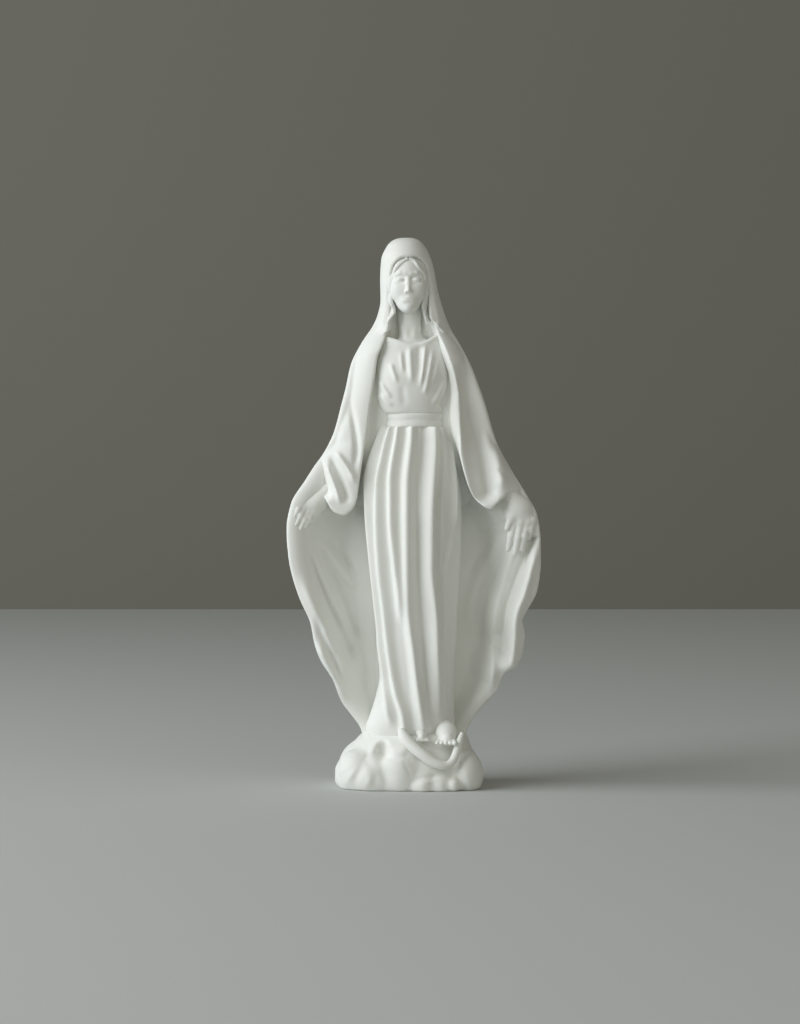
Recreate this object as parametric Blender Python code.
"""A small standing madonna statue: a veiled woman in a pleated gown, holding her mantle open on a rock plinth.

The figure faces -Y and stands on Z = 0, with the plinth centred on the origin. Every cast piece is its own
closed solid. Pieces that are glued to each other keep a gap of GLUE_LINE between them.
Sizes are in millimetres here, and MM turns them into metres where a mesh is made.
"""

import math

import bmesh
import bpy
import numpy as np
from mathutils import Vector

MM = 0.001

# Driving dimensions, in millimetres.
HEIGHT = 76.0
PLINTH_WIDTH = 20.6
PLINTH_DEPTH = 17.6
PLINTH_HEIGHT = 6.6
WAIST_HEIGHT = 49.9
SASH_WIDTH = 1.7
NECKLINE_HEIGHT = 62.4
SEAM_X = 6.8
MANTLE_THICKNESS = 1.5
GLUE_LINE = 0.3

HEM_HEIGHT = PLINTH_HEIGHT + GLUE_LINE
BODICE_LOW = WAIST_HEIGHT + SASH_WIDTH + 2 * GLUE_LINE
SIDES = ((-1, "left"), (1, "right"))

# Outline of the open mantle seen from the front: height, then distance from the middle on each side.
EDGE_X = {
    -1: (
        (7.0, 6.8), (9.8, 8.1), (14.8, 10.7), (19.9, 13.2), (26.1, 15.2), (31.6, 16.8), (35.7, 17.0),
        (39.2, 16.4), (42.6, 14.3), (46.1, 12.1), (48.8, 10.9), (53.0, 9.6), (58.5, 8.1), (62.0, 6.4),
    ),
    1: (
        (7.0, 8.0), (9.5, 9.0), (13.4, 12.6), (16.1, 14.6), (21.2, 16.0), (27.4, 17.6), (32.0, 18.2),
        (37.8, 17.7), (40.3, 16.4), (44.0, 14.2), (48.1, 12.1), (53.0, 10.6), (58.2, 8.7), (62.0, 6.7),
    ),
}
# Height, then how far forward the mantle's free edge stands, where its back is, and where its lining is.
EDGE_Y = ((7.0, 0.5), (15.0, -1.6), (25.0, -3.4), (38.0, -4.2))
BACK_Y = ((7.0, 6.4), (15.0, 7.4), (30.0, 8.7), (45.0, 8.3), (56.0, 7.2), (62.0, 5.8))
LINING_Y = ((7.0, 3.2), (30.0, 4.4), (45.0, 4.2), (56.0, 3.6), (62.0, 3.0))


def profile(stations, height):
    """The value at a height, on straight runs between the stations."""
    heights, values = zip(*stations)
    return float(np.interp(height, heights, values))


def plaster(name):
    """Matte white cast plaster, the finish of every piece."""
    material = bpy.data.materials.new(name)
    material.use_nodes = True
    shader = material.node_tree.nodes["Principled BSDF"]
    shader.inputs["Base Color"].default_value = (0.80, 0.81, 0.78, 1.0)
    shader.inputs["Roughness"].default_value = 0.62
    shader.inputs["Metallic"].default_value = 0.0
    return material


def piece(name, shape):
    """Turns a bmesh in millimetres into a named, smooth shaded object with its own material."""
    bmesh.ops.recalc_face_normals(shape, faces=shape.faces)
    bmesh.ops.scale(shape, vec=Vector((MM, MM, MM)), verts=shape.verts)
    mesh = bpy.data.meshes.new(name)
    shape.to_mesh(mesh)
    shape.free()
    mesh.shade_smooth()
    mesh.set_sharp_from_angle(angle=math.radians(50))
    mesh.materials.append(plaster(name))
    made = bpy.data.objects.new(name, mesh)
    bpy.context.scene.collection.objects.link(made)
    return made


def combine(target, helper, operation):
    """Adds a Boolean to the target, and marks the other shape as a helper that isn't a piece."""
    helper.hide_render = True
    helper.display_type = "WIRE"
    modifier = target.modifiers.new(helper.name, "BOOLEAN")
    modifier.operation = operation
    modifier.solver = "EXACT"
    modifier.object = helper


def cut(target, *helpers):
    """Takes each helper's volume out of the target."""
    for helper in helpers:
        combine(target, helper, "DIFFERENCE")


def oval(cx, cy, half_x, half_y, height, count, wave=None):
    """A level ring around (cx, cy). The wave gives what is added to its radius, as a share, at each angle."""
    ring = []
    for step in range(count):
        angle = 2 * math.pi * step / count
        share = 1.0 + (wave(angle) if wave else 0.0)
        ring.append((cx + half_x * share * math.cos(angle), cy + half_y * share * math.sin(angle), height))
    return ring


def loft(name, rings):
    """A closed solid through rings with the same number of points, with flat ends."""
    shape = bmesh.new()
    rows = [[shape.verts.new(point) for point in ring] for ring in rings]
    count = len(rings[0])
    for lower, upper in zip(rows, rows[1:]):
        for i in range(count):
            j = (i + 1) % count
            shape.faces.new((lower[i], lower[j], upper[j], upper[i]))
    shape.faces.new(reversed(rows[0]))
    shape.faces.new(rows[-1])
    return piece(name, shape)


def ball(name, centre, radii):
    """An ellipsoid."""
    shape = bmesh.new()
    bmesh.ops.create_uvsphere(shape, u_segments=16, v_segments=10, radius=1.0)
    bmesh.ops.scale(shape, vec=Vector(radii), verts=shape.verts)
    bmesh.ops.translate(shape, vec=Vector(centre), verts=shape.verts)
    return piece(name, shape)


def tube(name, path, radii, sides=10, flat=1.0):
    """A tapered bar along a path. A flat of less than 1 thins it from front to back."""
    points = [Vector(point) for point in path]
    rings = []
    for i, point in enumerate(points):
        along = (points[min(i + 1, len(points) - 1)] - points[max(i - 1, 0)]).normalized()
        side = along.cross(Vector((0.0, 1.0, 0.0))).normalized()
        front = side.cross(along)
        ring = []
        for step in range(sides):
            angle = 2 * math.pi * step / sides
            offset = side * math.cos(angle) + front * math.sin(angle) * flat
            ring.append(point + offset * radii[i])
        rings.append(ring)
    return loft(name, rings)


# ---------------------------------------------------------------- rock plinth, serpent and feet

PLINTH_PROFILE = ((0.0, 0.985), (1.2, 1.0), (3.4, 0.95), (5.2, 0.86), (PLINTH_HEIGHT, 0.72))
SERPENT_PATH = (
    (-1.9, -6.2, 6.4), (-0.4, -7.4, 5.2), (1.4, -8.3, 4.0), (3.2, -8.7, 3.0), (4.9, -8.7, 2.5), (6.2, -8.3, 3.0),
    (6.9, -7.6, 4.4), (7.1, -7.2, 6.0), (7.2, -7.0, 7.2),
)
SERPENT_RADII = (0.55, 0.6, 0.65, 0.68, 0.68, 0.64, 0.6, 0.66, 0.3)
FEET = {
    "left": ((1.5, -6.2, 7.5), (1.15, 2.0, 0.8)),
    "right": ((4.7, -6.4, 7.5), (1.4, 2.2, 0.95)),
}


def boulders(angle):
    """Rounded bulges around the plinth."""
    return 0.03 * math.sin(5 * angle + 0.6) + 0.02 * math.sin(9 * angle + 2.0) - 0.01


def make_plinth():
    half_x, half_y = PLINTH_WIDTH / 2, PLINTH_DEPTH / 2
    return loft(
        "rock_plinth",
        [oval(0.0, 0.0, half_x * share, half_y * share, z, 40, boulders) for z, share in PLINTH_PROFILE],
    )


def make_serpent(name, grow=0.0):
    """The serpent over the front of the plinth, from its head on the left to its raised tail."""
    return tube(name, SERPENT_PATH, [radius + grow for radius in SERPENT_RADII])


def make_foot(name, side, grow=0.0):
    """The toes of one foot, which come out under the hem."""
    centre, radii = FEET[side]
    return ball(name, centre, [radius + grow for radius in radii])


# ---------------------------------------------------------------- gown

SKIRT_LEFT = ((7.0, -5.6), (12.0, -4.7), (20.0, -5.2), (28.0, -5.9), (37.0, -6.4), (44.0, -5.5), (49.9, -3.9))
SKIRT_RIGHT = ((7.0, 6.3), (12.0, 6.0), (20.0, 6.4), (28.0, 6.8), (37.0, 6.9), (44.0, 6.2), (49.9, 5.2))
SKIRT_FRONT = ((7.0, -6.2), (20.0, -6.6), (37.0, -6.4), (49.9, -4.4))
SKIRT_RINGS = (HEM_HEIGHT, 10.0, 16.0, 22.0, 28.0, 34.0, 39.0, 44.0, 47.5, WAIST_HEIGHT)
PLEATS = 17
PLEAT_DEPTH = 0.055
WAIST_CENTRE = (0.65, -0.6)
WAIST_HALF = (4.5, 3.9)
SPIGOT_RADIUS = 2.4
SPIGOT_FLOOR = WAIST_HEIGHT - 3.0
# Height, half width, then the front and the back.
BODICE = (
    (BODICE_LOW, 4.5, -4.6, 3.1), (53.6, 5.1, -5.3, 3.1), (56.5, 5.0, -5.5, 3.1), (59.0, 4.7, -4.6, 3.0),
    (61.0, 4.2, -3.4, 2.8), (NECKLINE_HEIGHT, 2.9, -2.6, 2.2),
)


def skirt_ring(height, grow=0.0):
    """A level slice of the pleated skirt, whose pleats fade out towards the waist."""
    left, right = profile(SKIRT_LEFT, height) - grow, profile(SKIRT_RIGHT, height) + grow
    front, back = profile(SKIRT_FRONT, height) - grow, profile(LINING_Y, height) - GLUE_LINE + grow
    depth = PLEAT_DEPTH * min(1.0, (WAIST_HEIGHT + 0.6 - height) / 6.0)

    def pleats(angle):
        return depth * (math.cos(PLEATS * angle) - 1.0)

    return oval((left + right) / 2, (front + back) / 2, (right - left) / 2, (back - front) / 2, height,
                4 * PLEATS, pleats)


def make_skirt(name, grow=0.0):
    return loft(name, [skirt_ring(height, grow) for height in SKIRT_RINGS])


def make_spigot(name, low, high, grow=0.0):
    """The round tenon under the bodice, which passes through the sash into the skirt."""
    radius = SPIGOT_RADIUS + grow
    return loft(name, [oval(*WAIST_CENTRE, radius, radius, height, 20) for height in (low, high)])


def make_sash():
    low, high = WAIST_HEIGHT + GLUE_LINE, WAIST_HEIGHT + GLUE_LINE + SASH_WIDTH
    rounding = 0.3
    stations = ((low, 1.0), (low + rounding, 1.06), (high - rounding, 1.06), (high, 1.0))
    return loft(
        "sash",
        [oval(*WAIST_CENTRE, WAIST_HALF[0] * share, WAIST_HALF[1] * share, z, 36) for z, share in stations],
    )


def make_bodice(name, grow=0.0):
    """The gathered upper gown. A grown copy runs past both ends."""
    past = [0.0] * len(BODICE)
    past[0], past[-1] = -grow, grow
    rings = []
    for (height, half, front, back), extra in zip(BODICE, past):
        rings.append(oval(0.6, (front + back) / 2, half + grow, (back - front) / 2 + grow, height + extra, 40))
    return loft(name, rings)


# ---------------------------------------------------------------- head, hair and veil

HEAD_X = -0.1
# Height, middle from front to back, half width, half depth.
HEAD = (
    (60.2, -0.2, 1.3, 1.3), (62.6, -0.3, 1.55, 1.5), (64.7, -0.6, 1.5, 1.6), (65.4, -1.5, 1.5, 2.4),
    (66.6, -1.3, 2.15, 3.1), (68.4, -1.1, 2.65, 3.5), (70.4, -0.8, 2.8, 3.7), (72.2, -0.5, 2.45, 3.3),
    (73.4, -0.3, 1.7, 2.3), (74.0, -0.2, 0.7, 1.0),
)
HAIR_PATH = ((2.2, -2.6, 71.8), (2.9, -2.1, 70.0), (3.1, -1.6, 67.6), (2.9, -1.5, 65.4), (2.9, -1.9, 63.6))
HAIR_RADII = (0.45, 0.75, 0.8, 0.8, 0.5)
# Height, half width, middle from front to back, half depth.
VEIL = (
    (62.0, 6.3, 0.9, 4.7), (63.5, 5.6, 0.9, 4.6), (65.4, 4.75, 0.8, 4.7), (68.0, 4.1, 0.7, 4.8),
    (71.0, 4.0, 0.6, 4.8), (73.4, 3.55, 0.5, 4.3), (75.2, 2.3, 0.6, 2.9), (HEIGHT, 0.9, 0.7, 1.1),
)
FACE_ARCH = ((60.5, 3.5), (64.0, 3.4), (68.0, 3.1), (70.8, 2.8), (72.4, 1.9), (73.0, 0.7))
FACE_ARCH_Y = -6.0
FACE_ARCH_DEPTH = 4.2


def make_head(name, grow=0.0):
    """Neck tenon, neck and a plain egg of a head in one piece. A grown copy runs past both ends."""
    past = [0.0] * len(HEAD)
    past[0], past[-1] = -grow, grow
    rings = [
        oval(HEAD_X, cy, half_x + grow, half_y + grow, height + extra, 24)
        for (height, cy, half_x, half_y), extra in zip(HEAD, past)
    ]
    return loft(name, rings)


def make_hair(name, side, grow=0.0):
    """A lock that falls from the parting to the shoulder. A grown copy runs past both ends."""
    path = [[HEAD_X + side * x, y, z] for x, y, z in HAIR_PATH]
    path[0][2] += grow
    path[-1][2] -= grow
    return tube(name, path, [radius + grow for radius in HAIR_RADII])


def make_veil():
    return loft("veil", [oval(HEAD_X, cy, half_x, half_y, z, 36) for z, half_x, cy, half_y in VEIL])


def make_face_arch():
    """The tall opening that the face looks out of, cut from the front back to the cheeks."""
    return loft("face_arch", [oval(HEAD_X, FACE_ARCH_Y, half, FACE_ARCH_DEPTH, z, 20) for z, half in FACE_ARCH])


# ---------------------------------------------------------------- mantle, sleeves and hands

WING_RINGS = (7.4, 10.0, 12.5, 15.0, 18.0, 21.2, 25.0, 28.5, 32.0, 35.7, 38.6, 40.6)
WING_STEPS = 8
BACK_RINGS = (HEM_HEIGHT, 11.0, 18.0, 25.0, 32.0, 40.8, 41.2, 46.0, 52.0, 57.0, 60.8)
BACK_STEPS = 12
BACK_ROUNDING = 0.015
CAPE_LOW = 41.0
CAPE_INSET = 1.6
SLEEVE_RINGS = (38.9, 40.5, 43.0, 46.0, 49.0, 52.0, 55.0, 58.0, 60.0, 61.6)
SLEEVE_INNER = {
    -1: ((38.2, 7.6), (43.2, 6.6), (48.4, 5.8), (53.8, 5.1), (57.5, 4.7), (61.0, 3.9)),
    1: ((38.2, 9.5), (42.6, 7.9), (47.2, 6.9), (51.2, 6.8), (55.2, 6.3), (58.6, 5.4), (62.0, 4.2)),
}
# Wrist, knuckles and tip of the middle finger.
HANDS = {
    -1: ((-12.3, -4.2, 40.6), (-14.0, -4.9, 36.8), (-15.0, -5.5, 32.8)),
    1: ((13.3, -4.2, 40.8), (15.1, -4.9, 36.8), (14.5, -5.6, 32.2)),
}
PALM = ((0.0, 0.95), (0.35, 1.25), (0.75, 1.6), (1.1, 1.4))
# Place across the palm from the thumb's side, length as a share of the middle finger.
FINGERS = ((-1.05, 0.88), (-0.37, 1.0), (0.31, 0.94), (0.95, 0.74))
FINGER_RADIUS = 0.4


def seam_x(height):
    """Distance from the middle to the seam between the mantle's back and its hanging sides."""
    return min(SEAM_X, profile(EDGE_X[-1], height) - 2.0)


def wing_ring(height, side):
    """A level slice of a hanging side of the mantle, curved from the free edge round to the seam behind."""
    back, lining = profile(BACK_Y, height), profile(LINING_Y, height)
    root = Vector((side * (seam_x(height) + GLUE_LINE / 2), (lining + back) / 2))
    edge = Vector((side * (profile(EDGE_X[side], height) - MANTLE_THICKNESS / 2), profile(EDGE_Y, height)))
    bulge = Vector((edge.x, root.y * 0.75))
    outer, inner = [], []
    for step in range(WING_STEPS + 1):
        t = step / WING_STEPS
        point = edge * (1 - t) ** 2 + bulge * 2 * t * (1 - t) + root * t**2
        along = ((bulge - edge) * (1 - t) + (root - bulge) * t).normalized()
        across = Vector((along.y, -along.x)) * side
        half = MANTLE_THICKNESS / 2 * (1.0 + 0.9 * t)
        outer.append((*(point + across * half), height))
        inner.append((*(point - across * half), height))
    return outer + inner[::-1]


def make_wing(name, side):
    return loft(name, [wing_ring(height, side) for height in WING_RINGS])


def back_half(height):
    """Half the width of the mantle's back: up to its side seams, then out over the arms as a cape."""
    if height < CAPE_LOW:
        return seam_x(height) - GLUE_LINE / 2
    return profile(EDGE_X[-1], height) - CAPE_INSET


def make_back(name, grow=0.0):
    """The middle of the mantle, which closes the figure behind the gown from the plinth to the shoulders."""
    rings = []
    for height in BACK_RINGS:
        half = back_half(height) + grow
        lining, back = profile(LINING_Y, height) - grow, profile(BACK_Y, height) + grow
        across = [half * (2 * i / BACK_STEPS - 1) for i in range(BACK_STEPS + 1)]
        outer = [(x, back - BACK_ROUNDING * x * x, height) for x in across]
        inner = [(x, lining, height) for x in reversed(across)]
        rings.append(outer + inner)
    return loft(name, rings)


def sleeve_ring(height, side, grow=0.0):
    """A level slice of the mantle where it covers an arm."""
    outer_x, inner_x = profile(EDGE_X[side], height), profile(SLEEVE_INNER[side], height)
    front = -5.9 + 0.0035 * (height - 45.0) ** 2
    back = 5.4 - 0.10 * max(0.0, 50.0 - height) - 0.14 * max(0.0, height - 52.0)
    half_x, half_y = (outer_x - inner_x) / 2 + grow, (back - front) / 2 + grow
    return oval(side * (outer_x + inner_x) / 2, (front + back) / 2, half_x, half_y, height, 26)


def make_sleeve(name, side, grow=0.0):
    """The mantle over the shoulder and forearm, down to the cuff. A grown copy runs past both ends."""
    rings = [sleeve_ring(height, side, grow) for height in SLEEVE_RINGS]
    rings[0] = [(x, y, z - grow) for x, y, z in rings[0]]
    rings[-1] = [(x, y, z + grow) for x, y, z in rings[-1]]
    return loft(name, rings)


def make_palm(name, side, grow=0.0):
    """The wrist and palm. A grown copy runs past both ends."""
    wrist, knuckles = Vector(HANDS[side][0]), Vector(HANDS[side][1])
    shares = [share for share, radius in PALM]
    if grow:
        shares[0], shares[-1] = -0.1, 1.3
    path = [wrist.lerp(knuckles, share) for share in shares]
    return tube(name, path, [radius + grow for share, radius in PALM], sides=12, flat=0.55 + grow / 2)


def finger_paths(side):
    """Root, joint, tip and thickness of the four fingers and the thumb."""
    wrist, knuckles, tip = (Vector(point) for point in HANDS[side])
    across = Vector((side, 0.0, 0.0))
    paths = []
    for place, share in FINGERS:
        root = knuckles + across * place
        end = root.lerp(tip + across * place * 0.6, share)
        paths.append(([root, root.lerp(end, 0.55), end], (FINGER_RADIUS, FINGER_RADIUS, FINGER_RADIUS * 0.6)))
    heel = wrist.lerp(knuckles, 0.45) - across * 0.7
    thumb = [heel, heel + Vector((-side * 1.1, -0.5, -1.3)), heel + Vector((-side * 1.4, -0.9, -2.7))]
    paths.append((thumb, (0.55, 0.48, 0.3)))
    return paths


def make_hand(name, side):
    """A hand that hangs with its palm to the front: the palm with four fingers and a thumb joined on."""
    hand = make_palm(name, side)
    for number, (path, radii) in enumerate(finger_paths(side)):
        combine(hand, tube(f"{name}_digit_{number}", path, radii, sides=8), "UNION")
    return hand


def make_hand_clearance(name, side):
    """The space that a hanging hand and its spread fingers need."""
    wrist, knuckles, tip = (Vector(point) for point in HANDS[side])
    path = [wrist.lerp(knuckles, -0.1), wrist.lerp(knuckles, 0.5), knuckles, knuckles.lerp(tip, 1.3)]
    return tube(name, path, (1.5, 2.6, 2.6, 2.2), sides=14, flat=0.6)


def make_gown():
    """Skirt, sash and bodice, held together by the bodice's spigot."""
    skirt = make_skirt("gown_skirt")
    sash = make_sash()
    bodice = make_bodice("gown_bodice")
    combine(bodice, make_spigot("bodice_spigot", SPIGOT_FLOOR + GLUE_LINE, BODICE_LOW + 1.0), "UNION")
    cut(bodice, make_head("neck_socket", GLUE_LINE))
    cut(sash, make_spigot("sash_bore", WAIST_HEIGHT, BODICE_LOW, GLUE_LINE))
    cut(
        skirt,
        make_spigot("skirt_socket", SPIGOT_FLOOR, WAIST_HEIGHT + 1.0, GLUE_LINE),
        make_serpent("serpent_clearance", GLUE_LINE),
        make_foot("left_foot_clearance", "left", GLUE_LINE),
        make_foot("right_foot_clearance", "right", GLUE_LINE),
    )


def make_base():
    """Plinth with the serpent and the toes set into it."""
    plinth = make_plinth()
    make_serpent("serpent")
    cut(plinth, make_serpent("serpent_groove", GLUE_LINE))
    for side in FEET:
        make_foot(f"{side}_foot", side)
        cut(plinth, make_foot(f"{side}_foot_seat", side, GLUE_LINE))


def make_mantle():
    """The mantle's back, its two hanging sides, its two sleeves and the hands that hold it open."""
    back = make_back("mantle_back")
    for side, word in SIDES:
        sleeve = make_sleeve(f"{word}_sleeve", side)
        wing = make_wing(f"{word}_mantle_side", side)
        make_hand(f"{word}_hand", side)
        cut(
            sleeve,
            make_bodice(f"{word}_bodice_clearance", GLUE_LINE),
            make_skirt(f"{word}_skirt_clearance", GLUE_LINE),
            make_hand_clearance(f"{word}_wrist_clearance", side),
        )
        cut(
            wing,
            make_back(f"{word}_seam_clearance", GLUE_LINE),
            make_sleeve(f"{word}_wing_cuff_clearance", side, GLUE_LINE),
            make_hand_clearance(f"{word}_hand_clearance", side),
        )
        cut(back, make_sleeve(f"{word}_back_cuff_clearance", side, GLUE_LINE))


def make_head_group():
    """Head, two locks of hair, and the veil that closes over them."""
    make_head("head")
    veil = make_veil()
    cut(veil, make_face_arch(), make_head("head_clearance", GLUE_LINE))
    cut(veil, make_bodice("neckline_clearance", GLUE_LINE))
    for side, word in SIDES:
        hair = make_hair(f"{word}_hair", side)
        cut(hair, make_head(f"{word}_temple_clearance", GLUE_LINE))
        cut(veil, make_hair(f"{word}_hair_clearance", side, GLUE_LINE))


def clear_scene():
    for old in list(bpy.data.objects):
        bpy.data.objects.remove(old, do_unlink=True)


def main():
    clear_scene()
    make_base()
    make_gown()
    make_mantle()
    make_head_group()


main()
